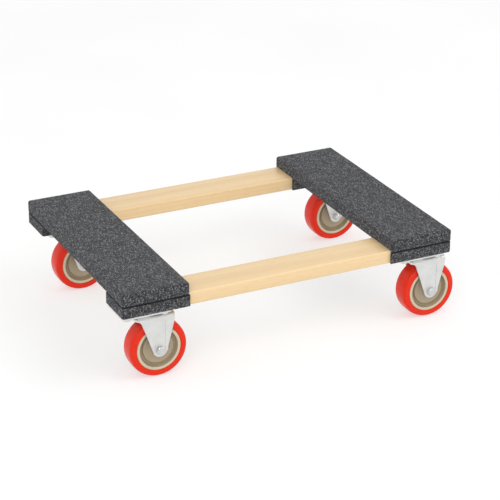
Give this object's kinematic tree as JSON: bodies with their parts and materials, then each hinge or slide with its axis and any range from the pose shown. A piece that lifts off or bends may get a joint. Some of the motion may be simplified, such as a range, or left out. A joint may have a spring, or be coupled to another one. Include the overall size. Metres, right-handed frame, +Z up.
{
  "type": "furniture dolly",
  "caption": "Low rectangular furniture dolly: two hardwood rails under two carpeted end decks, with a swivel plate caster and a moulded wheel at each corner.",
  "frame": {"origin": "on the floor, under the middle of the whole object's box with all four casters trailing to +X", "axes": "+X along the rails, +Y across from the front rail to the rear one, +Z up"},
  "size_m": [0.6438, 0.434, 0.1681],
  "materials": {
    "rail_wood": "pale planed hardwood, satin",
    "board_plywood": "raw plywood",
    "carpet": "ribbed loop carpet, charcoal grey with light flecks",
    "zinc_plate": "bright zinc plating",
    "bright_steel": "zinc-plated hardware",
    "hub_plastic": "beige-grey moulded polyolefin",
    "tread_urethane": "glossy red polyurethane"
  },
  "bodies": {
    "chassis": {"rail_front": "rail_wood", "rail_rear": "rail_wood", "deck_board_left": "board_plywood", "deck_carpet_left": "carpet", "deck_board_right": "board_plywood", "deck_carpet_right": "carpet", "rail_end_carpet_front_left": "carpet", "top_plate_front_left": "zinc_plate", "kingpin_front_left": "bright_steel", "mounting_screw_front_left_1": "bright_steel", "mounting_screw_front_left_2": "bright_steel", "mounting_screw_front_left_3": "bright_steel", "mounting_screw_front_left_4": "bright_steel", "rail_end_carpet_front_right": "carpet", "top_plate_front_right": "zinc_plate", "kingpin_front_right": "bright_steel", "mounting_screw_front_right_1": "bright_steel", "mounting_screw_front_right_2": "bright_steel", "mounting_screw_front_right_3": "bright_steel", "mounting_screw_front_right_4": "bright_steel", "rail_end_carpet_rear_left": "carpet", "top_plate_rear_left": "zinc_plate", "kingpin_rear_left": "bright_steel", "mounting_screw_rear_left_1": "bright_steel", "mounting_screw_rear_left_2": "bright_steel", "mounting_screw_rear_left_3": "bright_steel", "mounting_screw_rear_left_4": "bright_steel", "rail_end_carpet_rear_right": "carpet", "top_plate_rear_right": "zinc_plate", "kingpin_rear_right": "bright_steel", "mounting_screw_rear_right_1": "bright_steel", "mounting_screw_rear_right_2": "bright_steel", "mounting_screw_rear_right_3": "bright_steel", "mounting_screw_rear_right_4": "bright_steel"},
    "caster_front_left": {"fork_front_left": "zinc_plate", "axle_bolt_front_left": "bright_steel", "axle_nut_front_left": "bright_steel", "axle_sleeve_front_left": "bright_steel"},
    "wheel_front_left": {"wheel_hub_front_left": "hub_plastic", "wheel_tread_front_left": "tread_urethane"},
    "caster_front_right": {"fork_front_right": "zinc_plate", "axle_bolt_front_right": "bright_steel", "axle_nut_front_right": "bright_steel", "axle_sleeve_front_right": "bright_steel"},
    "wheel_front_right": {"wheel_hub_front_right": "hub_plastic", "wheel_tread_front_right": "tread_urethane"},
    "caster_rear_left": {"fork_rear_left": "zinc_plate", "axle_bolt_rear_left": "bright_steel", "axle_nut_rear_left": "bright_steel", "axle_sleeve_rear_left": "bright_steel"},
    "wheel_rear_left": {"wheel_hub_rear_left": "hub_plastic", "wheel_tread_rear_left": "tread_urethane"},
    "caster_rear_right": {"fork_rear_right": "zinc_plate", "axle_bolt_rear_right": "bright_steel", "axle_nut_rear_right": "bright_steel", "axle_sleeve_rear_right": "bright_steel"},
    "wheel_rear_right": {"wheel_hub_rear_right": "hub_plastic", "wheel_tread_rear_right": "tread_urethane"}
  },
  "joints": [
    {"name": "swivel_front_left", "type": "hinge", "parent": "chassis", "child": "caster_front_left", "pos_m": [-0.2774, -0.18045, 0.119], "axis": [0, 0, 1], "continuous": true},
    {"name": "roll_front_left", "type": "hinge", "parent": "caster_front_left", "child": "wheel_front_left", "pos_m": [-0.2514, -0.18045, 0.0508], "axis": [0, 1, 0], "continuous": true},
    {"name": "swivel_front_right", "type": "hinge", "parent": "chassis", "child": "caster_front_right", "pos_m": [0.2346, -0.18045, 0.119], "axis": [0, 0, 1], "continuous": true},
    {"name": "roll_front_right", "type": "hinge", "parent": "caster_front_right", "child": "wheel_front_right", "pos_m": [0.2606, -0.18045, 0.0508], "axis": [0, 1, 0], "continuous": true},
    {"name": "swivel_rear_left", "type": "hinge", "parent": "chassis", "child": "caster_rear_left", "pos_m": [-0.2669, 0.18045, 0.119], "axis": [0, 0, 1], "continuous": true},
    {"name": "roll_rear_left", "type": "hinge", "parent": "caster_rear_left", "child": "wheel_rear_left", "pos_m": [-0.2409, 0.18045, 0.0508], "axis": [0, 1, 0], "continuous": true},
    {"name": "swivel_rear_right", "type": "hinge", "parent": "chassis", "child": "caster_rear_right", "pos_m": [0.2451, 0.18045, 0.119], "axis": [0, 0, 1], "continuous": true},
    {"name": "roll_rear_right", "type": "hinge", "parent": "caster_rear_right", "child": "wheel_rear_right", "pos_m": [0.2711, 0.18045, 0.0508], "axis": [0, 1, 0], "continuous": true}
  ]
}
